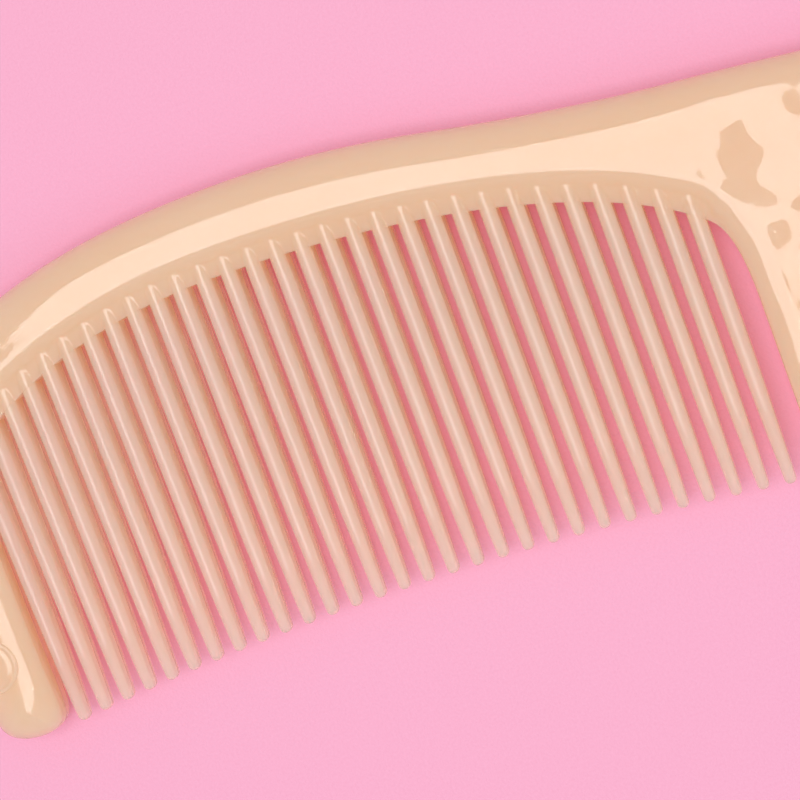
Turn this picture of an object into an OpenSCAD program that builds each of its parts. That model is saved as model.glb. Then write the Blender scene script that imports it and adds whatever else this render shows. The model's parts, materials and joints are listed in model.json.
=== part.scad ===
// Wide tooth comb with a handle, one moulding in translucent plastic.
// The comb lies flat: +X runs from the front end to the handle's end, +Y from the
// tooth tips to the back, +Z up. The origin is the bottom centre of its bounding box.
// Each node is one feature of the moulding. The nodes meet face to face.

/* [Comb] */
// Length from the front end to the end of the handle
comb_l = 222; // [215:1:235]
// Width from the guards' lower ends to the highest point of the back
comb_w = 62.3; // [60:0.1:66]
// Thickness along the crown of the spine, the guards and the handle
comb_t = 8; // [7:0.5:10]

/* [Teeth] */
// Number of teeth
tooth_count = 30; // [24:1:30]
// Distance from one tooth to the next
tooth_pitch = 3.5; // [3.4:0.05:3.55]
// Width of a tooth at its widest
tooth_w = 2.25; // [1.8:0.05:2.5]
// Width of a tooth where its tip starts to round
tip_w = 1.5; // [1.2:0.1:1.7]
// Thickness of a tooth at its root
root_t = 6.6; // [5:0.1:6.8]
// Thickness of a tooth where its tip starts to round
tip_t = 3; // [2:0.1:3.5]
// How far the end tips reach below the middle ones
tip_bow = 3; // [1:0.5:4]

/* [Spine] */
// Height of the root arch above its springing line
arch_h = 23.7; // [20:0.1:25]
// Half-span of the root arch on the front side of its crown
arch_front = 45.3; // [45:0.1:48]
// Half-span of the root arch on the handle side of its crown
arch_rear = 69; // [69:0.1:72]

/* [Guards] */
// Width of a guard at its rounded lower end
guard_w = 9.8; // [8:0.2:11]
// Space between the centre of the first tooth and the front guard
guard_gap = 2.25; // [2:0.05:3]
// Diameter of the plain raised roundel on the front guard
roundel_d = 7.6; // [6:0.2:8]
// Height of the roundel's dome above the guard's flat crown
roundel_h = 0.3; // [0.2:0.1:0.5]

/* [Handle] */
// Height of the handle over its grip
grip_w = 21; // [19:0.5:24]
// Length of the elliptical end of the handle
grip_round = 13.5; // [10:0.5:16]

/* [Hidden] */
// Distances across the comb are counted from the middle tips, and along it from tooth 1.
row_l = (tooth_count - 1) * tooth_pitch;
nose_x = -16.5;
end_x = nose_x + comb_l;
guard_r = guard_w / 2;
low_y = -3.1;
back_y = low_y + comb_w;
guard_y = low_y + guard_r;
arch_x = 38.4;
spring_y = 24;
back_x = 41.5;
front_x = -guard_gap;
rear_x = row_l + 4;
crown = comb_t / 2;
mid_z = comb_t / 2;
// Half thicknesses along the roots, at a guard's edge and at the outer rim
root_edge = root_t / 2;
guard_edge = 2.7;
rim_edge = 2.2;
// Part of a section's width before and after its flat crown
crown_from = 0.33;
crown_to = 0.62;
// The back is a superellipse ahead of its highest point and a parabola behind it
nose_power = 2.3;
back_radius = 140;
// Where the back leaves the parabola, and where it reaches the neck of the handle
leave_x = 72;
neck_x = 104;
neck_y = 50.55;
neck_slope = -0.108;
// Where the handle's lower edge starts, behind the rear guard
heel_x = 130;
heel_y = 25.3;
grip_x = end_x - grip_round;
grip_y = 31;
// Stations along each lofted stretch, and where the tooth sections lie
guard_steps = 10;
round_steps = 6;
grip_steps = 12;
tooth_steps = 5;
tip_steps = 3;
// The last section of a rounded end lies this many degrees round it
end_angle = 84;
// A tooth narrows over its last stretch, thickens towards its root, and has a squarish oval section
taper_l = 22;
depth_power = 0.6;
tooth_sides = 14;
tooth_power = 3.5;
// The roundel's centre, and where along the handle's top edge the neck ends
roundel_x = -8.6;
roundel_y = 8.6;
neck_end = 0.3;
// Positions across a section, from its inner to its outer edge
ACROSS = [0, 0.03, 0.12, 0.22, 0.33, 0.62, 0.74, 0.86, 0.95, 1];
edge_round = 0.75;

function tooth_name(k) = str("tooth_", k < 10 ? "0" : "", k);

// Point at t on the cubic Bezier curve with control points a, b, c and d
function curve(a, b, c, d, t) =
    pow(1 - t, 3) * a + 3 * t * pow(1 - t, 2) * b + 3 * t * t * (1 - t) * c + pow(t, 3) * d;

// Height of the root arch at x: a quarter ellipse on each side of its crown
function arch_y(x) =
    let (half = x < arch_x ? arch_front : arch_rear)
    spring_y + arch_h * sqrt(1 - pow((x - arch_x) / half, 2));

// Height of the line of tips at x
function tip_y(x) = -tip_bow * pow((x - row_l / 2) / (row_l / 2), 2);

// Height of the back at x, between the nose and the point where it leaves the parabola
function back_front(x) =
    let (rise = back_y - spring_y, t = (back_x - x) / (back_x - nose_x))
    spring_y + rise * pow(1 - pow(t, nose_power), 1 / nose_power);
function back_rear(x) = back_y - pow(x - back_x, 2) / (2 * back_radius);
function back_edge(x) = x < back_x ? back_front(x) : back_rear(x);

// The S-curve from the back to the neck, and the handle's upper and lower edges
leave_slope = -(leave_x - back_x) / back_radius;
function shoulder(t) = curve(
    [leave_x, back_rear(leave_x)],
    [leave_x + 10, back_rear(leave_x) + 10 * leave_slope],
    [neck_x - 10, neck_y - 10 * neck_slope],
    [neck_x, neck_y], t);
function grip_top(t) = curve(
    [neck_x, neck_y],
    [neck_x + 30, neck_y + 30 * neck_slope],
    [grip_x - 27, grip_y + grip_w / 2],
    [grip_x, grip_y + grip_w / 2], t);
function grip_low(t) = curve(
    [heel_x, heel_y],
    [heel_x + 12, heel_y - 0.6],
    [grip_x - 24, grip_y - grip_w / 2],
    [grip_x, grip_y - grip_w / 2], t);
function heel(t) = curve(
    [rear_x + guard_w, guard_y],
    [rear_x + guard_w, guard_y + 12],
    [heel_x - 11, heel_y + 0.6],
    [heel_x, heel_y], t);

// Half thickness at position t across a section
function half_t(t, inner, outer) =
    t <= crown_from ? inner + (crown - inner) * sin(90 * t / crown_from)
    : t <= crown_to ? crown
    : outer + (crown - outer) * cos(90 * (t - crown_to) / (1 - crown_to));

// One ring of a loft: [inner point, outer point, inner half thickness, outer half thickness]
function ring(s) =
    let (
        n = len(ACROSS) - 1,
        at = function (t, side)
            let (
                p = s[0] + (s[1] - s[0]) * t,
                soft = t == 1 || (t == 0 && s[2] < root_edge) ? edge_round : 1
            )
            [p[0], p[1], mid_z + side * soft * half_t(t, s[2], s[3])]
    )
    concat([for (i = [0:n]) at(ACROSS[i], 1)], [for (i = [n:-1:0]) at(ACROSS[i], -1)]);

// Closed skin over a list of rings with the same number of points
module skin(rings) {
    n = len(rings[0]);
    last = len(rings) - 1;
    sides = [
        for (i = [0:last - 1], j = [0:n - 1])
            [i * n + j, i * n + (j + 1) % n, (i + 1) * n + (j + 1) % n, (i + 1) * n + j]
    ];
    start = [[for (j = [n - 1:-1:0]) j]];
    finish = [[for (j = [0:n - 1]) last * n + j]];
    polyhedron(points = [for (r = rings) each r], faces = concat(sides, start, finish));
}

module loft(stations) skin([for (s = stations) ring(s)]);

// The row is drawn from tooth 1, then moved so that the box is centred on the origin
module placed() {
    translate([-nose_x - comb_l / 2, -low_y - comb_w / 2, 0]) children();
}

// Stations of the spine: one between each pair of teeth, leaning outwards at the front
function spine_lean(x) = x < back_x ? -7.25 * pow((back_x - x) / (back_x - front_x), 2) : 0;
function spine_back(x) =
    let (xo = x + spine_lean(x), t = (xo - leave_x) / (neck_x - leave_x))
    xo < leave_x ? [xo, back_edge(xo)] : shoulder(t);
function spine_station(x) = [[x, arch_y(x)], spine_back(x), root_edge, rim_edge];
function spine_stations() = concat(
    [spine_station(front_x)],
    [for (k = [0:tooth_count]) if ((k - 0.5) * tooth_pitch > front_x)
        spine_station((k - 0.5) * tooth_pitch)],
    [[[rear_x, arch_y(rear_x)], [neck_x, neck_y], root_edge, rim_edge]]
);

module spine() {
    color([0.96, 0.82, 0.63]) placed() loft(spine_stations());
}

// Sections of a guard's rounded lower end, centred at x; side is 1 with the inner edge at +X
function round_end(x, side) = [
    for (i = [1:round_steps])
        let (
            a = end_angle * i / round_steps,
            y = guard_y - guard_r * sin(a) / sin(end_angle),
            w = side * guard_r * cos(a)
        )
        [[x + w, y], [x - w, y], guard_edge, rim_edge]
];

// Outer edge of the front guard, above and below the nose
function nose_upper(t) =
    let (from_x = spine_back(front_x)[0], x = from_x + (nose_x - from_x) * sin(90 * t))
    [x, back_front(x)];
function nose_lower(y) =
    let (t = (spring_y - y) / (spring_y - guard_y))
    [nose_x + (front_x - guard_w - nose_x) * (1 - cos(180 * t)) / 2, y];

module front_guard_body() {
    top_y = arch_y(front_x);
    upper = [
        for (i = [0:guard_steps])
            let (t = i / guard_steps, y = top_y + (spring_y - top_y) * t)
            [[front_x, y], nose_upper(t), root_edge + (guard_edge - root_edge) * t, rim_edge]
    ];
    lower = [
        for (i = [1:guard_steps])
            let (y = spring_y + (guard_y - spring_y) * i / guard_steps)
            [[front_x, y], nose_lower(y), guard_edge, rim_edge]
    ];
    down = concat(upper, lower, round_end(front_x - guard_r, 1));
    loft([for (i = [len(down) - 1:-1:0]) down[i]]);
}

module front_guard() {
    color([0.96, 0.82, 0.63]) placed() front_guard_body();
}

// Bare disc on the front guard, where such a comb carries its maker's mark
module roundel() {
    color([0.97, 0.84, 0.66]) placed() difference() {
        translate([roundel_x, roundel_y, mid_z])
            cylinder(d = roundel_d, h = crown + roundel_h, $fn = 48);
        front_guard_body();
    }
}

// The rear guard runs parallel to the teeth, from the handle's root to its rounded end
module rear_guard() {
    top_y = arch_y(rear_x);
    body = [
        for (i = [0:guard_steps])
            let (t = i / guard_steps, y = top_y + (guard_y - top_y) * t)
            [[rear_x, y], heel(1 - t), root_edge + (guard_edge - root_edge) * t, rim_edge]
    ];
    color([0.96, 0.82, 0.63]) placed() loft(concat(body, round_end(rear_x + guard_r, -1)));
}

// The handle starts over the rear guard's top and ends in half an ellipse
module handle() {
    root = [rear_x, arch_y(rear_x)];
    over_guard = [
        for (t = ACROSS)
            [root + ([heel_x, heel_y] - root) * t, grip_top(neck_end * t),
             half_t(t, root_edge, rim_edge), rim_edge]
    ];
    grip = [
        for (i = [1:grip_steps])
            let (t = i / grip_steps)
            [grip_low(t), grip_top(neck_end + (1 - neck_end) * t), rim_edge, rim_edge]
    ];
    end = [
        for (i = [1:round_steps])
            let (
                a = end_angle * i / round_steps,
                x = grip_x + grip_round * sin(a) / sin(end_angle),
                half = grip_w / 2 * cos(a)
            )
            [[x, grip_y - half], [x, grip_y + half], rim_edge, rim_edge]
    ];
    color([0.93, 0.77, 0.58]) placed() loft(concat(over_guard, grip, end));
}

// Width and thickness of a tooth at distance d from where its tip starts to round
function width_at(d) = tip_w + (tooth_w - tip_w) * sin(90 * min(1, d / taper_l));
function depth_at(d, l) = tip_t + (root_t - tip_t) * pow(d / l, depth_power);

// Squarish oval section of a tooth; slope tilts it to lie on the root arch's chord
function oval(x, y, w, t, slope) = [
    for (i = [0:tooth_sides - 1])
        let (
            a = 360 * i / tooth_sides,
            c = sign(cos(a)) * pow(abs(cos(a)), 2 / tooth_power),
            s = sign(sin(a)) * pow(abs(sin(a)), 2 / tooth_power)
        )
        [x + w / 2 * c, y + slope * w / 2 * c, mid_z + t / 2 * s]
];

module tooth(k) {
    x = (k - 1) * tooth_pitch;
    tip = tip_y(x) + tip_w / 2;
    before = arch_y(x - tooth_pitch / 2);
    after = arch_y(x + tooth_pitch / 2);
    root = (before + after) / 2;
    slope = (after - before) / tooth_pitch;
    point = [
        for (i = [tip_steps:-1:1])
            let (a = end_angle * i / tip_steps, drop = tip_w / 2 * sin(a) / sin(end_angle))
            oval(x, tip - drop, tip_w * cos(a), tip_t * (0.5 + 0.5 * cos(a)), 0)
    ];
    shaft = [
        for (i = [0:tooth_steps - 1])
            let (d = (root - tip) * i / tooth_steps)
            oval(x, tip + d, width_at(d), depth_at(d, root - tip), 0)
    ];
    color([0.97, 0.83, 0.66]) placed()
        skin(concat(point, shaft, [oval(x, root, width_at(root - tip), root_t, slope)]));
}

spine();
front_guard();
rear_guard();
handle();
roundel();
for (k = [1:tooth_count])
    tooth(k);
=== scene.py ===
# %% [markdown]
# # A wide tooth comb with a handle
#
# The comb is one injection moulding in cream, slightly see-through plastic: an arched spine with
# thirty teeth under it, a guard at each end of the row, and a handle in line with the spine.
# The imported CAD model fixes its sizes. This script gives each region its real surface: rolled
# shoulders, domed teeth, the parting line of the mould, and a plastic that lets light bleed through.

# %% Load the fixed frame
import json
import math

import bmesh
import bpy
import numpy as np
from mathutils import Matrix, Vector, noise
from mathutils.geometry import delaunay_2d_cdt

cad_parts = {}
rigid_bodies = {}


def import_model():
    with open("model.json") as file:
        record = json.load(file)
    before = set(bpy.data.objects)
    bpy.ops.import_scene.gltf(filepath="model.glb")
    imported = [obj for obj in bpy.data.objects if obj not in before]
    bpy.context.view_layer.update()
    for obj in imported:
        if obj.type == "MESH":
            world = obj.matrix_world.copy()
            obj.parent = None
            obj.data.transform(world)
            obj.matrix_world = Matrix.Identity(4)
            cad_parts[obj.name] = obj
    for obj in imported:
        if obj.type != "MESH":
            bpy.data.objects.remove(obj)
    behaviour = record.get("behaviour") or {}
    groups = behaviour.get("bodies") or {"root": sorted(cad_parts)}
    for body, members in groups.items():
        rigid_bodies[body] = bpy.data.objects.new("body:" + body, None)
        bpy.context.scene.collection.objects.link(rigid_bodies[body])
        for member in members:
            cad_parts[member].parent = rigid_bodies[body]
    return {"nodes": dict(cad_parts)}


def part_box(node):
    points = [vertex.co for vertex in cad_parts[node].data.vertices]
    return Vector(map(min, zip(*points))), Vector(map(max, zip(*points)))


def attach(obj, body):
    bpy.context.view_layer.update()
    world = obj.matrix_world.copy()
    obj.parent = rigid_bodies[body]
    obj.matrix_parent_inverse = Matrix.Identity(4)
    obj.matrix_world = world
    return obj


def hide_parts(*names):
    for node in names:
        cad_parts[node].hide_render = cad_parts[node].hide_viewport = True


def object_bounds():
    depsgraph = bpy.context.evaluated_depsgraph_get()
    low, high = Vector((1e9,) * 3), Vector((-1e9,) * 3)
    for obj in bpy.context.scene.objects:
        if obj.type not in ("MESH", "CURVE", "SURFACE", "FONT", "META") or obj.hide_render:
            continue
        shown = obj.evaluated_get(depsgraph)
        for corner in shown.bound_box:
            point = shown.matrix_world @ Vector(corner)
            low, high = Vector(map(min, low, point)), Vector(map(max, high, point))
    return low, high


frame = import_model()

MM = 0.001
cad_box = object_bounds()
print("CAD box in mm:", [[round(c / MM, 2) for c in corner] for corner in cad_box])

# %% [markdown]
# ## Where the row of teeth lies
#
# Every shape below is drawn in row coordinates: millimetres, x from the first tooth's centre and
# y from the middle tips, as a comb maker would draw it. The tooth nodes say where that row lies
# in the frame and how far apart the teeth are, so nothing has to be placed by eye.

# %% The row, read from the tooth nodes
TEETH = sorted(name for name in frame["nodes"] if name.startswith("tooth_"))
TOOTH_COUNT = len(TEETH)


def centre_x(node):
    low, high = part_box(node)
    return (low[0] + high[0]) / 2


PITCH = (centre_x(TEETH[-1]) - centre_x(TEETH[0])) / (TOOTH_COUNT - 1) / MM
ROW_L = (TOOTH_COUNT - 1) * PITCH
LOW_Y = -3.1
X0 = centre_x(TEETH[0]) / MM
Y0 = cad_box[0][1] / MM - LOW_Y
BACK_Y = cad_box[1][1] / MM - Y0
NOSE_X = cad_box[0][0] / MM - X0
END_X = cad_box[1][0] / MM - X0
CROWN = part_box("spine")[1][2] / MM / 2
MID_Z = CROWN
print(f"{TOOTH_COUNT} teeth, pitch {PITCH:.2f} mm, row {ROW_L:.1f} mm, crown {CROWN:.2f} mm")

# %% [markdown]
# ## The outline of spine, guards and handle
#
# Seen from above, the body is one closed line. The roots stand on an arch of two quarter
# ellipses. The back is a superellipse at the nose and a parabola behind its highest point, and
# Bezier curves lead from there into the handle. A formula for each stretch keeps the line fair:
# a glossy surface shows every flat spot, so points placed by hand would be seen at once. Names
# that end in UP, IN or OUT say how far a Bezier curve's handle reaches from its end.

# %% Curves of the outline
ARCH_X, SPRING_Y, ARCH_H = 38.4, 24.0, 23.7
ARCH_FRONT, ARCH_REAR = 45.3, 69.0
BACK_X, NOSE_POWER, BACK_RADIUS = 41.5, 2.3, 140.0
GUARD_W = 9.8
GUARD_R = GUARD_W / 2
GUARD_Y = LOW_Y + GUARD_R
FOOT_END, FOOT_UP, FOOT_LEAN, FOOT_SLANT = 4.4, 1.2, 2.2, 0.2
CORNER_IN, CORNER_UP = 0.2, 1.6
FRONT_X, REAR_X = -2.25, ROW_L + 4
ARCH_END_X, FILLET_Y = ROW_L + 1.5, 21.0
LEAVE_X, NECK_X, NECK_Y, NECK_SLOPE = 72.0, 104.0, 50.55, -0.108
HEEL_X, HEEL_Y, HEEL_TILT = 130.0, 25.3, 0.6
HEEL_UP, HEEL_IN, HEEL_OUT = 12.0, 11.0, 12.0
GRIP_LOW_IN, GRIP_TOP_IN, NECK_OUT, SHOULDER_OUT = 24.0, 27.0, 30.0, 10.0
GRIP_X, GRIP_Y, GRIP_W, GRIP_ROUND = END_X - 13.5, 31.0, 21.0, 13.5
TOOTH_W, ROOT_T = 2.2, 6.5
STEP, ARCH_STEP = 0.7, 0.27


def arch_y(x):
    half = ARCH_FRONT if x < ARCH_X else ARCH_REAR
    return SPRING_Y + ARCH_H * math.sqrt(1 - ((x - ARCH_X) / half) ** 2)


def arch_over(xs):
    """The arch's height at many places, held level past its two ends."""
    return np.array([arch_y(min(max(x, FRONT_X), ARCH_END_X)) for x in xs])


def back_front(x):
    t = (BACK_X - x) / (BACK_X - NOSE_X)
    return SPRING_Y + (BACK_Y - SPRING_Y) * (1 - t ** NOSE_POWER) ** (1 / NOSE_POWER)


def back_rear(x):
    return BACK_Y - (x - BACK_X) ** 2 / (2 * BACK_RADIUS)


def bezier(points, count=60):
    """Points along a quadratic or cubic Bezier curve."""
    degree = len(points) - 1
    t = np.linspace(0, 1, count)[:, None]
    weights = [math.comb(degree, i) * t**i * (1 - t) ** (degree - i) for i in range(degree + 1)]
    return sum(w * np.array(p, float) for w, p in zip(weights, points))


def arc(cx, cy, rx, ry, start, end, count=60):
    a = np.radians(np.linspace(start, end, count))
    return np.stack([cx + rx * np.cos(a), cy + ry * np.sin(a)], 1)


def spaced(points, step=STEP):
    """The same line with its points a steady distance apart."""
    points = np.asarray(points, float)
    run = np.concatenate([[0], np.cumsum(np.hypot(*np.diff(points, axis=0).T))])
    count = max(2, round(run[-1] / step) + 1)
    at = np.linspace(0, run[-1], count)
    return np.stack([np.interp(at, run, points[:, 0]), np.interp(at, run, points[:, 1])], 1)


# %% [markdown]
# Each stretch also says how the surface meets it: the half thickness at the edge, how wide the
# rolled shoulder is, how round it is, and how far a flat web reaches in from the edge. Only the
# arch has a web, the strip that the tooth crowns run out on.

# %% Stretches of the outline, in order, each with its edge
arch_span = np.linspace(FRONT_X, ARCH_END_X, 400)
arch_end = (arch_span[-1], arch_y(arch_span[-1]))
arch_slope = (arch_end[1] - arch_y(arch_span[-2])) / (arch_span[-1] - arch_span[-2])
leave_y = back_rear(LEAVE_X)
leave_slope = -(LEAVE_X - BACK_X) / BACK_RADIUS
nose_turn = np.linspace(0, 1, 120)
heel_start = (REAR_X + GUARD_W, GUARD_Y)

STRETCHES = {
    "front_inner": [(FRONT_X, GUARD_Y), (FRONT_X, arch_y(FRONT_X))],
    "arch": [(x, arch_y(x)) for x in arch_span],
    "fillet": bezier([arch_end, (REAR_X, arch_end[1] + arch_slope * (REAR_X - arch_end[0])),
                      (REAR_X, FILLET_Y)]),
    "rear_inner": [(REAR_X, FILLET_Y), (REAR_X, GUARD_Y)],
    "rear_foot": arc(REAR_X + GUARD_R, GUARD_Y, GUARD_R, GUARD_R, 180, 360),
    "heel": bezier([heel_start, (heel_start[0], GUARD_Y + HEEL_UP),
                    (HEEL_X - HEEL_IN, HEEL_Y + HEEL_TILT), (HEEL_X, HEEL_Y)]),
    "grip_low": bezier([(HEEL_X, HEEL_Y), (HEEL_X + HEEL_OUT, HEEL_Y - HEEL_TILT),
                        (GRIP_X - GRIP_LOW_IN, GRIP_Y - GRIP_W / 2),
                        (GRIP_X, GRIP_Y - GRIP_W / 2)]),
    "grip_end": arc(GRIP_X, GRIP_Y, GRIP_ROUND, GRIP_W / 2, -90, 90),
    "grip_top": bezier([(GRIP_X, GRIP_Y + GRIP_W / 2), (GRIP_X - GRIP_TOP_IN, GRIP_Y + GRIP_W / 2),
                        (NECK_X + NECK_OUT, NECK_Y + NECK_OUT * NECK_SLOPE), (NECK_X, NECK_Y)]),
    "shoulder": bezier([(NECK_X, NECK_Y),
                        (NECK_X - SHOULDER_OUT, NECK_Y - SHOULDER_OUT * NECK_SLOPE),
                        (LEAVE_X + SHOULDER_OUT, leave_y + SHOULDER_OUT * leave_slope),
                        (LEAVE_X, leave_y)]),
    "back": [(x, back_rear(x)) for x in np.linspace(LEAVE_X, BACK_X, 100)],
    "nose": [(BACK_X + (NOSE_X - BACK_X) * math.sin(math.pi / 2 * t),
              back_front(BACK_X + (NOSE_X - BACK_X) * math.sin(math.pi / 2 * t)))
             for t in nose_turn],
    "front_outer": [(NOSE_X + (FRONT_X - GUARD_W - NOSE_X) * (1 - math.cos(math.pi * t)) / 2,
                     SPRING_Y + (GUARD_Y - SPRING_Y) * t) for t in nose_turn],
    "front_foot": bezier([(FRONT_X - GUARD_W, GUARD_Y), (FRONT_X - GUARD_W, LOW_Y + FOOT_UP),
                          (FRONT_X - GUARD_W + FOOT_LEAN, LOW_Y + FOOT_SLANT),
                          (FRONT_X - FOOT_END, LOW_Y)]),
    "front_corner": bezier([(FRONT_X - FOOT_END, LOW_Y), (FRONT_X - CORNER_IN, LOW_Y),
                            (FRONT_X, LOW_Y + CORNER_UP), (FRONT_X, GUARD_Y)]),
}
RIM = dict(edge=1.0, shoulder=5.0, web=0.0, roundness=1.0)
SIDE = dict(edge=2.2, shoulder=3.6, web=0.0, roundness=0.8)
ROOT = dict(edge=2.7, shoulder=4.4, web=2.4, roundness=0.0)
EDGES = {"front_inner": SIDE, "arch": ROOT, "rear_inner": SIDE, "fillet": SIDE}

line, edge_values = [], []
for name, points in STRETCHES.items():
    points = spaced(points, ARCH_STEP if name == "arch" else STEP)[:-1]
    edge = EDGES.get(name, RIM)
    line.append(points)
    edge_values.append(np.tile([edge["edge"], edge["shoulder"], edge["web"], edge["roundness"]],
                               (len(points), 1)))
line = np.concatenate(line)
edge_values = np.concatenate(edge_values)
print(f"outline: {len(line)} points, {len(STRETCHES)} stretches")

# %% [markdown]
# Where one kind of edge gives way to the next, the values are averaged along the line, so that
# the shoulder changes width over a few millimetres instead of jumping.

# %% Blend the edge values along the line
BLEND = 9
weights = np.hanning(2 * BLEND + 3)[1:-1]
weights /= weights.sum()
for column in range(edge_values.shape[1]):
    padded = np.concatenate([edge_values[-BLEND:, column], edge_values[:, column],
                             edge_values[:BLEND, column]])
    edge_values[:, column] = np.convolve(padded, weights, mode="valid")

before, after = np.roll(line, 1, axis=0), np.roll(line, -1, axis=0)
along = after - before
along /= np.hypot(*along.T)[:, None]
area = 0.5 * np.sum(line[:, 0] * after[:, 1] - after[:, 0] * line[:, 1])
inward = np.stack([-along[:, 1], along[:, 0]], 1) * (1 if area > 0 else -1)

# %% [markdown]
# ## The body as a height over its outline
#
# Spine, guards and handle run into each other, and a loft would need a seam at that fork. So the
# top face is a height over the flat outline instead: it depends only on how far a point is from
# the edge and on the nearest edge's values. Rings of points follow the edge, a loose grid fills
# the middle, and a Delaunay triangulation joins them. The underside is its mirror image.

# %% Distance from the edge, and what the nearest bit of edge is like
CHUNK = 2000


def nearest_edge(points):
    """How far each point is from the outline, and the edge values there."""
    near = np.concatenate([((points[k:k + CHUNK, None] - line[None]) ** 2).sum(2).argmin(1)
                           for k in range(0, len(points), CHUNK)])
    best, values = np.full(len(points), np.inf), np.empty((len(points), 4))
    for first in (near - 1, near):
        start, end = line[first], line[(first + 1) % len(line)]
        run = end - start
        t = np.clip(((points - start) * run).sum(1) / (run ** 2).sum(1), 0, 1)[:, None]
        gap = np.hypot(*(points - start - t * run).T)
        here = edge_values[first] * (1 - t) + edge_values[(first + 1) % len(line)] * t
        closer = gap < best
        best[closer], values[closer] = gap[closer], here[closer]
    return best, values.T


# %% [markdown]
# Two finer things ride on that height. The crown of every tooth runs on over the web as a low
# ridge and dies out in the shoulder, which leaves a row of little cusps. And where the handle
# joins, the plastic is thickest: it shrinks as it cools and leaves shallow sink marks, a few
# tenths of a millimetre deep, which break up a reflection. They die out before the grip.

# %% Height of the top face
DISH, DISH_W = 0.10, 5.0
RIDGE_LIFT, RIDGE_BLEND = 0.02, 0.22
WEB_SLOPE, WEB_LEAST, WEB_IN = 0.2, 0.3, 1.5
MARK_FROM, MARK_FADE = 2.0, 3.0
RIPPLE_LEVEL, RIPPLE_SLICE = 0.4, 0.5

# Centre x and y, half widths x and y, and depth of each sink mark, in mm.
SINKS = [(111.8, 38.0, 4.6, 5.0, 0.34), (104.0, 44.2, 7.0, 1.3, 0.22), (112.5, 45.8, 7.5, 1.1, 0.16),
         (117.5, 27.5, 3.0, 4.5, 0.18), (122.0, 36.5, 3.2, 3.6, 0.22), (133.0, 37.0, 7.0, 4.0, 0.20),
         (148.0, 32.0, 8.0, 5.0, 0.18)]
RIPPLE, RIPPLE_W = 0.16, 3.2
RIPPLE_X, RIPPLE_END, RIPPLE_FADE = 94.0, 150.0, 16.0


def crown_ridge(x):
    """Height of the tooth crowns where they run on over the web."""
    which = np.clip(np.round(x / PITCH), 0, TOOTH_COUNT - 1)
    r = TOOTH_W / 2 + RIDGE_LIFT
    off = np.clip(np.abs(x - which * PITCH), 0, r)
    return ROOT_T / 2 + RIDGE_LIFT - r + np.sqrt(r ** 2 - off ** 2)


def smooth_max(a, b, blend):
    near = np.clip(blend - np.abs(a - b), 0, None) / blend
    return np.maximum(a, b) + near ** 2 * blend / 4


def sink_marks(points):
    """Depth of the sink marks and of the slow ripple round them."""
    x, y = points.T
    depth = np.zeros(len(points))
    for cx, cy, rx, ry, deep in SINKS:
        depth -= deep * np.exp(-((x - cx) / rx) ** 2 - ((y - cy) / ry) ** 2)
    wave = np.array([noise.noise((a / RIPPLE_W, b / RIPPLE_W, RIPPLE_SLICE))
                     for a, b in points])
    share = np.clip(np.minimum(x - RIPPLE_X, RIPPLE_END - x) / RIPPLE_FADE, 0, 1)
    return depth + RIPPLE * share * (wave - RIPPLE_LEVEL)


def height(points, marks):
    """Half thickness at each point of the outline, in mm, with that share of the sink marks."""
    gap, (edge, shoulder, web, roundness) = nearest_edge(points)
    u = np.clip((gap - web) / (shoulder - web), 0, 1)
    ease = roundness * np.sqrt(1 - (1 - u) ** 2) + (1 - roundness) * np.sin(np.pi / 2 * u)
    sunk = np.clip((gap - shoulder) / DISH_W, 0, 1)
    sunk = sunk * sunk * (3 - 2 * sunk)
    deep = np.clip((gap - shoulder + MARK_FROM) / MARK_FADE, 0, 1)
    foot = edge + WEB_SLOPE * np.minimum(gap, web)
    plain = foot + (CROWN - foot) * ease - DISH * sunk + marks * deep * sink_marks(points)
    over_web = (web > WEB_LEAST) & (points[:, 1] > arch_over(points[:, 0]) - WEB_IN)
    return np.where(over_web, smooth_max(plain, crown_ridge(points[:, 0]), RIDGE_BLEND), plain)


# %% Points over the outline
RINGS = [0.08, 0.25, 0.5, 0.8, 1.1, 1.4, 1.7, 2.0, 2.3, 2.6, 2.9, 3.2, 3.5, 3.9, 4.4]
GRID, ROW_STEP = 0.75, 0.866
RING_LEAST, MIDDLE_GAP = 0.85, 0.4
TINY = 1e-12
gx, gy = np.meshgrid(np.arange(NOSE_X, END_X, GRID), np.arange(LOW_Y, BACK_Y, GRID * ROW_STEP))
gx[1::2] += GRID / 2
grid = np.stack([gx.ravel(), gy.ravel()], 1)


def inside(points):
    """True for the points within the outline, by counting crossings of a ray."""
    x, y = points[:, 0:1], points[:, 1:2]
    x1, y1 = line.T
    x2, y2 = after.T
    crosses = ((y1 > y) != (y2 > y)) & (x < (x2 - x1) * (y - y1) / (y2 - y1 + TINY) + x1)
    return crosses.sum(1) % 2 == 1


def kept(points, least):
    """Points within the outline that are more than a least distance from it."""
    parts = []
    for start in range(0, len(points), CHUNK):
        part = points[start:start + CHUNK]
        d = np.sqrt(((part[:, None] - line[None]) ** 2).sum(2).min(1))
        parts.append(part[(d > least) & inside(part)])
    return np.concatenate(parts)


ring_points = np.concatenate([kept(line + inward * r, RING_LEAST * r) for r in RINGS])
middle = kept(grid, RINGS[-1] + MIDDLE_GAP)
flat = np.concatenate([line, ring_points, middle])
loop = [(i, (i + 1) % len(line)) for i in range(len(line))]
FILL_INSIDE, MERGE_WITHIN = 1, 1e-5
verts, _, faces, _, _, _ = delaunay_2d_cdt([Vector(p) for p in flat], loop, [], FILL_INSIDE,
                                           MERGE_WITHIN)
verts = np.array([tuple(v) for v in verts])
print(f"body top: {len(verts)} points, {len(faces)} triangles")

# %% Close the body: two faces, a side wall and the parting line
PART_H, PART_OUT = 0.16, 0.07


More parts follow.
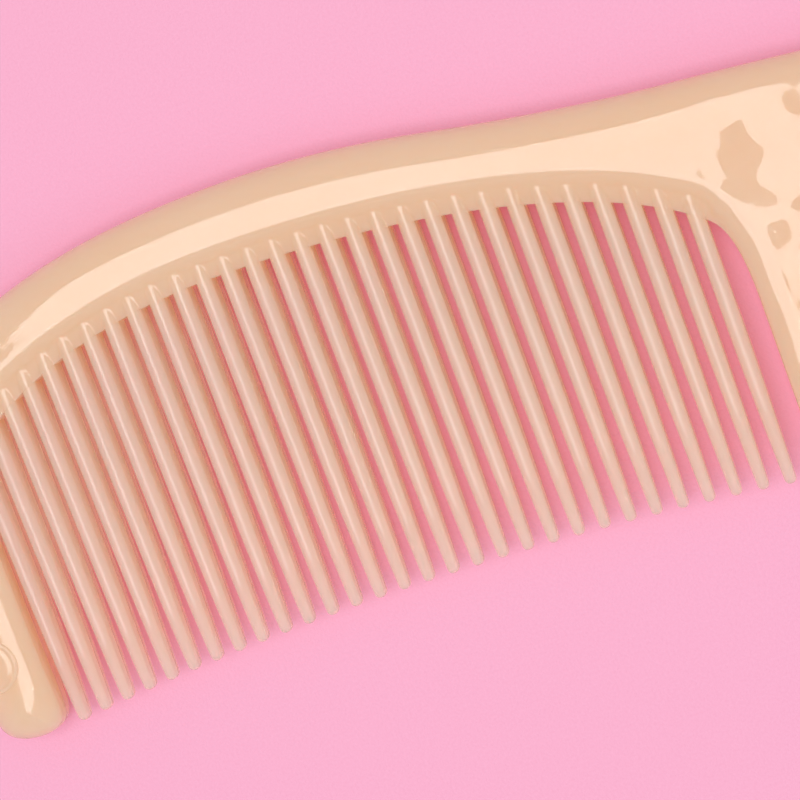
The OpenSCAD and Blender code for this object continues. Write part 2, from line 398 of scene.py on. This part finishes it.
def frame_place(points):
    """Row coordinates in mm, with z from the middle plane, to metres in the frame."""
    points = np.asarray(points, float)
    return (points + np.array([X0, Y0, MID_Z])) * MM


def body_mesh():
    """Top, underside and wall; the rim is drawn in by the height of the parting bead."""
    n = len(verts)
    edge_of = {}
    for f in faces:
        for a, b in zip(f, f[1:] + f[:1]):
            edge_of[(a, b)] = edge_of.get((a, b), 0) + 1
    rim_next = {a: b for (a, b) in edge_of if (b, a) not in edge_of}
    start = next(iter(rim_next))
    rim = [start]
    while rim_next[rim[-1]] != start:
        rim.append(rim_next[rim[-1]])
    rim_xy = verts[rim]
    tangent = np.roll(rim_xy, -1, axis=0) - np.roll(rim_xy, 1, axis=0)
    tangent /= np.hypot(*tangent.T)[:, None]
    outward = np.stack([tangent[:, 1], -tangent[:, 0]], 1)
    m = len(rim)
    plan = verts.copy()
    plan[rim] = rim_xy - outward * PART_OUT
    top = np.column_stack([plan, height(verts, 1.0)])
    bottom = np.column_stack([plan, -height(verts, 0.0)])
    walls = [np.column_stack([xy, np.full(m, z)])
             for xy, z in ((plan[rim], PART_H), (rim_xy, 0.0), (plan[rim], -PART_H))]
    points = np.concatenate([top, bottom, *walls])
    rows = [[2 * n + k * m + i for i in range(m)] for k in range(3)]
    rows = [rim, *rows, [n + i for i in rim]]
    out_faces = [tuple(f) for f in faces] + [tuple(n + i for i in reversed(f)) for f in faces]
    for upper, lower in zip(rows, rows[1:]):
        for i in range(m):
            j = (i + 1) % m
            out_faces.append((upper[j], upper[i], lower[i], lower[j]))
    mesh = bpy.data.meshes.new("comb_body")
    mesh.from_pydata(frame_place(points).tolist(), [], out_faces)
    mesh.validate()
    return mesh


def new_piece(name, mesh):
    piece = bpy.data.objects.new(name, mesh)
    bpy.context.scene.collection.objects.link(piece)
    return piece


body = new_piece("comb_body", body_mesh())
print("comb_body:", len(body.data.vertices), "vertices,", len(body.data.polygons), "faces")

# %% [markdown]
# ## Thirty teeth from one
#
# All the teeth have the same section: straight flanks, a full round crown above and below, and a
# hairline where the two mould halves met. They differ only in length and in where they start. So
# one tooth is modelled, and a Geometry Nodes tree sets it on a row of points and stretches each
# copy from the line of tips up to the arch.

# %% One tooth, its tip at y = 0
TIP_W, TIP_T, TAPER_L, DEPTH_POWER, TIP_BOW = 1.5, 2.9, 22.0, 0.6, 3.0
UNIT_L = 50.0
ROOT_IN = 1.6
SIDES = 36
SEAM_OUT, SEAM_H = 0.05, 0.12
TIP_RINGS, TIP_FROM, TIP_DEPTH, TIP_POWER = 9, 88, 0.45, 0.35
TAPER_RINGS, STEM_RINGS, STEM_FROM = 14, 7, TAPER_L + 4


def tooth_section(width, depth):
    """An upright slot shape: half circles above and below straight flanks, with a parting ridge."""
    r = width / 2
    straight = max(depth / 2 - r, 0)
    ring = []
    for i in range(SIDES):
        a = 2 * math.pi * (i + 0.5) / SIDES
        x, z = r * math.cos(a), r * math.sin(a)
        ring.append([x, z + math.copysign(straight, z)])
    half = SIDES // 2
    left = [[-r, SEAM_H], [-r - SEAM_OUT, 0.0], [-r, -SEAM_H]]
    right = [[r, -SEAM_H], [r + SEAM_OUT, 0.0], [r, SEAM_H]]
    return np.array(ring[:half] + left + ring[half:] + right)


def unit_tooth():
    """Sections from the rounded tip, over the taper, to the deep root; each is y, width, depth."""
    stations = []
    for a in np.radians(np.linspace(TIP_FROM, 0, TIP_RINGS)[:-1]):
        full = TIP_DEPTH + (1 - TIP_DEPTH) * math.cos(a)
        stations.append((TIP_W / 2 * (1 - math.sin(a)), TIP_W * math.cos(a),
                         TIP_T * full * math.cos(a) ** TIP_POWER))
    for s in np.concatenate([np.linspace(TIP_W / 2, TAPER_L, TAPER_RINGS),
                             np.linspace(STEM_FROM, UNIT_L, STEM_RINGS)]):
        d = s - TIP_W / 2
        stations.append((s, TIP_W + (TOOTH_W - TIP_W) * math.sin(math.pi / 2 * min(1, d / TAPER_L)),
                         TIP_T + (ROOT_T - TIP_T) * min(1, d / (UNIT_L - ROOT_IN)) ** DEPTH_POWER))
    rings = [tooth_section(w, t) for _, w, t in stations]
    n = len(rings[0])
    points = [(p[0], y, p[1]) for (y, _, _), ring in zip(stations, rings) for p in ring]
    quads = [(k * n + i, (k + 1) * n + i, (k + 1) * n + (i + 1) % n, k * n + (i + 1) % n)
             for k in range(len(rings) - 1) for i in range(n)]
    ends = [tuple(range(n)), tuple((len(rings) - 1) * n + i for i in reversed(range(n)))]
    mesh = bpy.data.meshes.new("one_tooth")
    mesh.from_pydata((np.array(points) * MM).tolist(), [], quads + ends)
    mesh.validate()
    return mesh


one_tooth = unit_tooth()
bm = bmesh.new()
bm.from_mesh(one_tooth)
bmesh.ops.recalc_face_normals(bm, faces=bm.faces)
bm.to_mesh(one_tooth)
bm.free()
template = new_piece("tooth_template", one_tooth)
print("one tooth:", len(one_tooth.vertices), "vertices")

# %% [markdown]
# One helper adds a node with its settings and links. The material trees use it too.

# %% Node helper


def node(tree, kind, values=None, links=None, **settings):
    """Adds a node; values go to its inputs, links join other sockets to its inputs."""
    made = tree.nodes.new(kind)
    for key, value in settings.items():
        setattr(made, key, value)
    for key, value in (values or {}).items():
        made.inputs[key].default_value = value
    for key, socket in (links or {}).items():
        tree.links.new(socket, made.inputs[key])
    return made


# %% The tree that lays out the row
ROW_INPUTS = {
    "Teeth": ("NodeSocketInt", TOOTH_COUNT),
    "Pitch": ("NodeSocketFloat", PITCH * MM),
    "First X": ("NodeSocketFloat", X0 * MM),
    "Tip Y": ("NodeSocketFloat", Y0 * MM),
    "Middle Z": ("NodeSocketFloat", MID_Z * MM),
    "Tip Bow": ("NodeSocketFloat", TIP_BOW * MM),
    "Arch X": ("NodeSocketFloat", (X0 + ARCH_X) * MM),
    "Spring Y": ("NodeSocketFloat", (Y0 + SPRING_Y) * MM),
    "Arch Height": ("NodeSocketFloat", ARCH_H * MM),
    "Arch Front": ("NodeSocketFloat", ARCH_FRONT * MM),
    "Arch Rear": ("NodeSocketFloat", ARCH_REAR * MM),
    "Root In": ("NodeSocketFloat", ROOT_IN * MM),
    "Taper": ("NodeSocketFloat", TAPER_L * MM),
    "Unit Length": ("NodeSocketFloat", UNIT_L * MM),
}


# %% [markdown]
# Where each point of a tooth goes is a run of sums: which tooth it is on, where that tooth's tip
# and root lie, and how far the stem between taper and root must stretch. A table says them one
# by one, which is easier to follow than thirty nodes. A term is an input, an earlier result, the
# point's own x or y, or a plain number.

# %% The sums behind each tooth's place and length
ROW_SUMS = [
    ("from first", "SUBTRACT", "x", "First X"),
    ("pitches", "DIVIDE", "from first", "Pitch"),
    ("which", "ROUND", "pitches"),
    ("tooth x", "MULTIPLY_ADD", "which", "Pitch", "First X"),
    ("last", "SUBTRACT", "Teeth", 1.0),
    ("part", "DIVIDE", "which", "last"),
    ("swing", "MULTIPLY_ADD", "part", 2.0, -1.0),
    ("swing squared", "MULTIPLY", "swing", "swing"),
    ("bow", "MULTIPLY", "swing squared", "Tip Bow"),
    ("tip y", "SUBTRACT", "Tip Y", "bow"),
    ("off", "SUBTRACT", "tooth x", "Arch X"),
    ("ahead", "LESS_THAN", "off", 0.0),
    ("front less rear", "SUBTRACT", "Arch Front", "Arch Rear"),
    ("span", "MULTIPLY_ADD", "ahead", "front less rear", "Arch Rear"),
    ("ratio", "DIVIDE", "off", "span"),
    ("ratio squared", "MULTIPLY", "ratio", "ratio"),
    ("under", "SUBTRACT", 1.0, "ratio squared"),
    ("rise", "SQRT", "under"),
    ("arch", "MULTIPLY_ADD", "rise", "Arch Height", "Spring Y"),
    ("root y", "ADD", "arch", "Root In"),
    ("length", "SUBTRACT", "root y", "tip y"),
    ("stem", "SUBTRACT", "length", "Taper"),
    ("unit stem", "SUBTRACT", "Unit Length", "Taper"),
    ("stretch", "DIVIDE", "stem", "unit stem"),
    ("past taper", "SUBTRACT", "y", "Taper"),
    ("beyond", "MAXIMUM", "past taper", 0.0),
    ("near", "MINIMUM", "y", "Taper"),
    ("stretched", "MULTIPLY", "beyond", "stretch"),
    ("from tip", "ADD", "near", "stretched"),
    ("new y", "ADD", "tip y", "from tip"),
]


def tooth_row_tree():
    tree = bpy.data.node_groups.new("tooth row", "GeometryNodeTree")
    face = tree.interface
    face.new_socket("Geometry", in_out="OUTPUT", socket_type="NodeSocketGeometry")
    for name, (kind, _) in ROW_INPUTS.items():
        face.new_socket(name, in_out="INPUT", socket_type=kind)
    face.new_socket("Tooth", in_out="INPUT", socket_type="NodeSocketObject")
    face.new_socket("Plastic", in_out="INPUT", socket_type="NodeSocketMaterial")
    given = node(tree, "NodeGroupInput").outputs
    start = node(tree, "ShaderNodeCombineXYZ", links={
        "X": given["First X"], "Z": given["Middle Z"]})
    step = node(tree, "ShaderNodeCombineXYZ", links={"X": given["Pitch"]})
    points = node(tree, "GeometryNodeMeshLine", links={
        "Count": given["Teeth"], "Start Location": start.outputs[0], "Offset": step.outputs[0]})
    tooth = node(tree, "GeometryNodeObjectInfo", links={"Object": given["Tooth"]})
    row = node(tree, "GeometryNodeInstanceOnPoints", links={
        "Points": points.outputs[0], "Instance": tooth.outputs["Geometry"]})
    solid = node(tree, "GeometryNodeRealizeInstances", links={"Geometry": row.outputs[0]})

    place = node(tree, "GeometryNodeInputPosition")
    xyz = node(tree, "ShaderNodeSeparateXYZ", links={0: place.outputs[0]}).outputs
    known = {name: given[name] for name in ROW_INPUTS} | {"x": xyz["X"], "y": xyz["Y"]}
    for name, operation, *terms in ROW_SUMS:
        numbers = {k: term for k, term in enumerate(terms) if term not in known}
        links = {k: known[term] for k, term in enumerate(terms) if term in known}
        known[name] = node(tree, "ShaderNodeMath", numbers, links, operation=operation).outputs[0]
    spot = node(tree, "ShaderNodeCombineXYZ", links={
        "X": xyz["X"], "Y": known["new y"], "Z": xyz["Z"]})
    laid = node(tree, "GeometryNodeSetPosition", links={
        "Geometry": solid.outputs[0], "Position": spot.outputs[0]})
    finished = node(tree, "GeometryNodeSetMaterial", links={
        "Geometry": laid.outputs[0], "Material": given["Plastic"]})
    node(tree, "NodeGroupOutput", links={0: finished.outputs[0]})
    return tree


# %% [markdown]
# ## The plastic
#
# This kind of comb is moulded in a glossy resin that is cream in colour and slightly see-through,
# like pale horn. Light bleeds through it, so thin teeth glow and pick up the colour of what they
# lie on. Random walk subsurface gives the glow, with nearly even radii so that no tint creeps in,
# and a share of plain Transparent lets the sheet's colour through: a stand-in for refraction that
# adds no noise. The mould's polish is low roughness and a full clear coat, and a slow bump bends
# the highlights a little more. Each pattern's scale comes from its size in millimetres.

# %% Colours and the plastic


def srgb(code):
    """An sRGB hex colour as a linear RGBA tuple."""
    parts = [int(code[i:i + 2], 16) / 255 for i in (1, 3, 5)]
    linear = [c / 12.92 if c <= 0.04045 else ((c + 0.055) / 1.055) ** 2.4 for c in parts]
    return (*linear, 1.0)


# Sizes in mm of the clouds, the mould's haze, the slow waves and the grain of the skin.
CLOUD, HAZE, WAVE, SKIN = 22.2, 1.43, 16.7, 1.11
# The thin shades are painted light: a paler colour on the teeth for the light that gets through
# them.
THICK_SHADES, THIN_GLOW_SHADES = ("#FFE6CA", "#FFDFBD"), ("#FFF7E2", "#FFF2D8")
SEEN_THROUGH = "#FFF7EA"
THICK_SHARE, THIN_SHARE = 0.38, 0.5
SCATTER = 0.007


def repeats(size):
    """The Scale that makes a pattern repeat about every so many millimetres."""
    return 1 / (size * MM)


def moulded_plastic():
    """Injection-moulded cream resin: polished, translucent, with faint clouds of flow."""
    plastic = bpy.data.materials.new("moulded cream resin")
    plastic.use_nodes = True
    tree = plastic.node_tree
    tree.nodes.clear()
    place = node(tree, "ShaderNodeTexCoord").outputs["Object"]
    thin = node(tree, "ShaderNodeAttribute", attribute_name="thin").outputs["Fac"]

    # Colour: clouds left by the flow, and a paler shade painted where the plastic is thin, for the
    # light that gets through it.
    cloud = node(tree, "ShaderNodeTexNoise", {"Scale": repeats(CLOUD), "Detail": 3.0,
                 "Roughness": 0.55}, {"Vector": place}).outputs[0]
    shades = [node(tree, "ShaderNodeMix", {6: srgb(pale), 7: srgb(deep)}, {0: cloud},
                   data_type="RGBA").outputs[2] for pale, deep in (THICK_SHADES, THIN_GLOW_SHADES)]
    shade = node(tree, "ShaderNodeMix", links={0: thin, 6: shades[0], 7: shades[1]},
                 data_type="RGBA").outputs[2]

    # Surface: polished steel leaves a faint haze, slow waves and a very fine grain.
    haze = node(tree, "ShaderNodeTexNoise", {"Scale": repeats(HAZE), "Detail": 4.0},
                {"Vector": place})
    rough = node(tree, "ShaderNodeMapRange", {"To Min": 0.03, "To Max": 0.07},
                 {"Value": haze.outputs[0]})
    flow = node(tree, "ShaderNodeTexNoise", {"Scale": repeats(WAVE), "Detail": 1.5},
                {"Vector": place})
    skin = node(tree, "ShaderNodeTexNoise", {"Scale": repeats(SKIN), "Detail": 2.0},
                {"Vector": place})
    slow = node(tree, "ShaderNodeBump", {"Strength": 0.1, "Distance": 0.0001},
                {"Height": flow.outputs[0]})
    fine = node(tree, "ShaderNodeBump", {"Strength": 0.15, "Distance": 0.00002},
                {"Height": skin.outputs[0], "Normal": slow.outputs[0]})

    shader = node(tree, "ShaderNodeBsdfPrincipled", {
        "IOR": 1.5, "Subsurface Weight": 1.0, "Subsurface Radius": (0.9, 0.95, 1.0),
        "Subsurface Scale": SCATTER, "Coat Weight": 1.0, "Coat Roughness": 0.02, "Coat IOR": 1.5,
    }, {"Base Color": shade, "Roughness": rough.outputs[0], "Normal": fine.outputs[0]})
    shader.subsurface_method = "RANDOM_WALK"
    through = node(tree, "ShaderNodeBsdfTransparent", {"Color": srgb(SEEN_THROUGH)})
    share = node(tree, "ShaderNodeMapRange", {"To Min": THICK_SHARE, "To Max": THIN_SHARE},
                 {"Value": thin})
    both = node(tree, "ShaderNodeMixShader",
                links={0: share.outputs[0], 1: shader.outputs[0], 2: through.outputs[0]})
    node(tree, "ShaderNodeOutputMaterial", links={"Surface": both.outputs[0]})
    return plastic


comb_plastic = moulded_plastic()

# %% Run the tree and keep the result as a plain mesh
teeth = new_piece("teeth_row", bpy.data.meshes.new("teeth_row"))
layout = teeth.modifiers.new("tooth row", "NODES")
layout.node_group = tooth_row_tree()
sockets = {s.name: s.identifier for s in layout.node_group.interface.items_tree
           if s.item_type == "SOCKET" and s.in_out == "INPUT"}
for name, (_, value) in ROW_INPUTS.items():
    layout[sockets[name]] = value
layout[sockets["Tooth"]] = template
layout[sockets["Plastic"]] = comb_plastic

solved = teeth.evaluated_get(bpy.context.evaluated_depsgraph_get())
plain = bpy.data.meshes.new_from_object(solved)
teeth.modifiers.clear()
teeth.data = plain
bpy.data.objects.remove(template)
print("teeth_row:", len(plain.vertices), "vertices,", len(plain.polygons), "faces")

# %% [markdown]
# ## The roundel
#
# Near its lower end the front guard carries a round boss where such combs bear a mark. Here it is
# bare: a low disc inside a fine raised ring. It is lathed from a short profile, so its ring and
# edge stay round however close the eye comes.

# %% Lathe the roundel
ROUNDEL_X, ROUNDEL_Y, ROUNDEL_R = -8.6, 8.6, 3.8
TURNS = 96
PROFILE = [(0.0, 0.16), (0.5, 0.16), (0.74, 0.15), (0.78, 0.12), (0.82, 0.14), (0.86, 0.24),
           (0.92, 0.26), (0.97, 0.2), (1.0, 0.05), (1.0, -1.0)]


def roundel_mesh():
    """The profile turned about the boss's axis, closed below so that the join has a solid."""
    points, quads = [(0.0, 0.0, CROWN + PROFILE[0][1])], []
    for r, z in PROFILE[1:]:
        for k in range(TURNS):
            a = 2 * math.pi * k / TURNS
            points.append((ROUNDEL_R * r * math.cos(a), ROUNDEL_R * r * math.sin(a), CROWN + z))
    rows = len(PROFILE) - 1
    for k in range(TURNS):
        j = (k + 1) % TURNS
        quads.append((0, 1 + k, 1 + j))
        for i in range(rows - 1):
            upper, lower = 1 + i * TURNS, 1 + (i + 1) * TURNS
            quads.append((upper + k, lower + k, lower + j, upper + j))
    quads.append(tuple(1 + (rows - 1) * TURNS + k for k in reversed(range(TURNS))))
    mesh = bpy.data.meshes.new("roundel")
    place = np.array(points) + np.array([ROUNDEL_X, ROUNDEL_Y, 0])
    mesh.from_pydata(frame_place(place).tolist(), [], quads)
    mesh.validate()
    return mesh


disc = new_piece("roundel_disc", roundel_mesh())
print("roundel_disc:", len(disc.data.polygons), "faces")

# %% [markdown]
# ## One moulding
#
# Light wanders through this plastic for several millimetres, and it would stop dead at any wall
# inside it. So the three closed shapes are joined into one skin with nothing inside, which is
# also what comes out of the mould. The Boolean's manifold solver does that quickly and exactly.

# %% Join body, teeth and roundel
for part in (teeth, disc):
    join = body.modifiers.new(part.name, "BOOLEAN")
    join.operation, join.solver, join.object = "UNION", "MANIFOLD", part
solved = body.evaluated_get(bpy.context.evaluated_depsgraph_get())
moulding = new_piece("comb_moulding", bpy.data.meshes.new_from_object(solved))
for part in (body, teeth, disc):
    bpy.data.objects.remove(part)
moulding.data.materials.clear()
moulding.data.materials.append(comb_plastic)
moulding.data.shade_smooth()
SHARP_FROM = 40
moulding.data.set_sharp_from_angle(angle=math.radians(SHARP_FROM))
print("comb_moulding:", len(moulding.data.vertices), "vertices,",
      len(moulding.data.polygons), "faces")

# %% [markdown]
# The teeth are about 2 mm wide and the spine 8 mm thick, so more light gets through the teeth and
# they look paler; that paleness is painted into their colour as a paler shade.
# An attribute called "thin" tells the plastic where that is: 0 on the body, growing to 1 within a
# few millimetres down each tooth, so that no line shows where tooth and web meet.

# %% Mark the thin plastic
THIN_RUN = 6.0


def thinness(points):
    """0 on the body, 1 on the free length of the teeth, with an even ramp between."""
    x, y = points[:, 0], points[:, 1]
    in_row = (x > -TOOTH_W) & (x < ROW_L + TOOTH_W / 2)
    return np.where(in_row, np.clip((arch_over(x) - y) / THIN_RUN, 0, 1), 0.0)


spots = np.empty(len(moulding.data.vertices) * 3)
moulding.data.vertices.foreach_get("co", spots)
spots = spots.reshape(-1, 3) / MM - np.array([X0, Y0, MID_Z])
thin_mark = moulding.data.attributes.new("thin", "FLOAT", "POINT")
thin_mark.data.foreach_set("value", thinness(spots))
print(f"thin plastic on {np.mean(thinness(spots) > 0):.0%} of the points")

# %% [markdown]
# ## Floor, light and camera
#
# The comb lies on a plain pale rose sheet, and the thin teeth take some of their tint from it. One
# large soft box overhead draws the long highlight down the spine. A weaker one, low on the handle's
# side, lights the flanks of the teeth; it is hidden from reflections, because it would draw a
# second bright line along every tooth. A dim, even surround fills the shadows.

# %% Pale sheet
FLOOR = 1.5
FIBRE = 0.4


def pale_sheet():
    """Uncoated paper: matt, with a nap of short fibres."""
    paper = bpy.data.materials.new("pale rose paper")
    paper.use_nodes = True
    tree = paper.node_tree
    tree.nodes.clear()
    place = node(tree, "ShaderNodeTexCoord").outputs["Object"]
    fibre = node(tree, "ShaderNodeTexNoise", {"Scale": repeats(FIBRE), "Detail": 3.0},
                 {"Vector": place})
    tint = node(tree, "ShaderNodeMix", {6: srgb("#F7AFCE"), 7: srgb("#FCBAD9")},
                {0: fibre.outputs[0]}, data_type="RGBA")
    nap = node(tree, "ShaderNodeBump", {"Strength": 0.6, "Distance": 0.00012},
               {"Height": fibre.outputs[0]})
    shader = node(tree, "ShaderNodeBsdfPrincipled", {"Roughness": 0.9, "Specular IOR Level": 0.2},
                  {"Base Color": tint.outputs[2], "Normal": nap.outputs[0]})
    node(tree, "ShaderNodeOutputMaterial", links={"Surface": shader.outputs[0]})
    return paper


sheet = bpy.data.meshes.new("floor")
sheet.from_pydata([(-FLOOR, -FLOOR, 0), (FLOOR, -FLOOR, 0), (FLOOR, FLOOR, 0), (-FLOOR, FLOOR, 0)],
                  [], [(0, 1, 2, 3)])
floor = new_piece("floor", sheet)
floor.data.materials.append(pale_sheet())

# %% Soft box and surround


def soft_box(name, place, aim, size, watts):
    """A white rectangular lamp at a place, turned to face another."""
    lamp = bpy.data.lights.new(name, "AREA")
    lamp.shape = "RECTANGLE"
    lamp.size, lamp.size_y = size
    lamp.energy = watts
    held = bpy.data.objects.new(name, lamp)
    held.location = place
    held.rotation_euler = (Vector(aim) - Vector(place)).to_track_quat("-Z", "Y").to_euler()
    bpy.context.scene.collection.objects.link(held)
    return held


soft_box("overhead_box", place=(-0.107, 0.01, 0.50), aim=(-0.107, 0.01, 0.0),
         size=(0.326, 0.30), watts=1.1)
side_fill = soft_box("side_fill", place=(0.42, -0.14, 0.26), aim=(-0.04, -0.01, 0.0),
                     size=(0.40, 0.24), watts=0.57)
side_fill.visible_glossy = False
surround = bpy.data.worlds.new("surround")
surround.use_nodes = True
backdrop = surround.node_tree.nodes["Background"]
backdrop.inputs["Color"].default_value = srgb("#FFF6F4")
backdrop.inputs["Strength"].default_value = 0.57
bpy.context.scene.world = surround
bpy.context.scene.view_settings.view_transform = "Standard"

# Light is passed on from tooth to tooth many times, and cut short it leaves their flanks brown.
# So it is followed for more turns than Blender's usual four diffuse ones.
bpy.context.scene.cycles.max_bounces = 20
bpy.context.scene.cycles.diffuse_bounces = 14
print("lamps:", [lamp.name for lamp in bpy.data.lights])

# %% Camera, as a place and the two directions across its view
SENSOR_MM, LENS_MM, CLIP_START = 36.0, 90.0, 0.01
EYE = Vector((0.01319, 0.01748, 0.26214))
RIGHT = Vector((0.924413, -0.34975, -0.152103))
UP = Vector((0.329753, 0.933323, -0.142022))
camera_data = bpy.data.cameras.new("eye")
camera_data.sensor_width = SENSOR_MM
camera_data.lens = LENS_MM
camera_data.clip_start = CLIP_START
camera = bpy.data.objects.new("eye", camera_data)
turn = Matrix((RIGHT, UP, RIGHT.cross(UP))).transposed().to_4x4()
camera.matrix_world = Matrix.Translation(EYE) @ turn
bpy.context.scene.collection.objects.link(camera)
bpy.context.scene.camera = camera

# %% Hand over
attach(moulding, "root")
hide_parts(*sorted(frame["nodes"]))
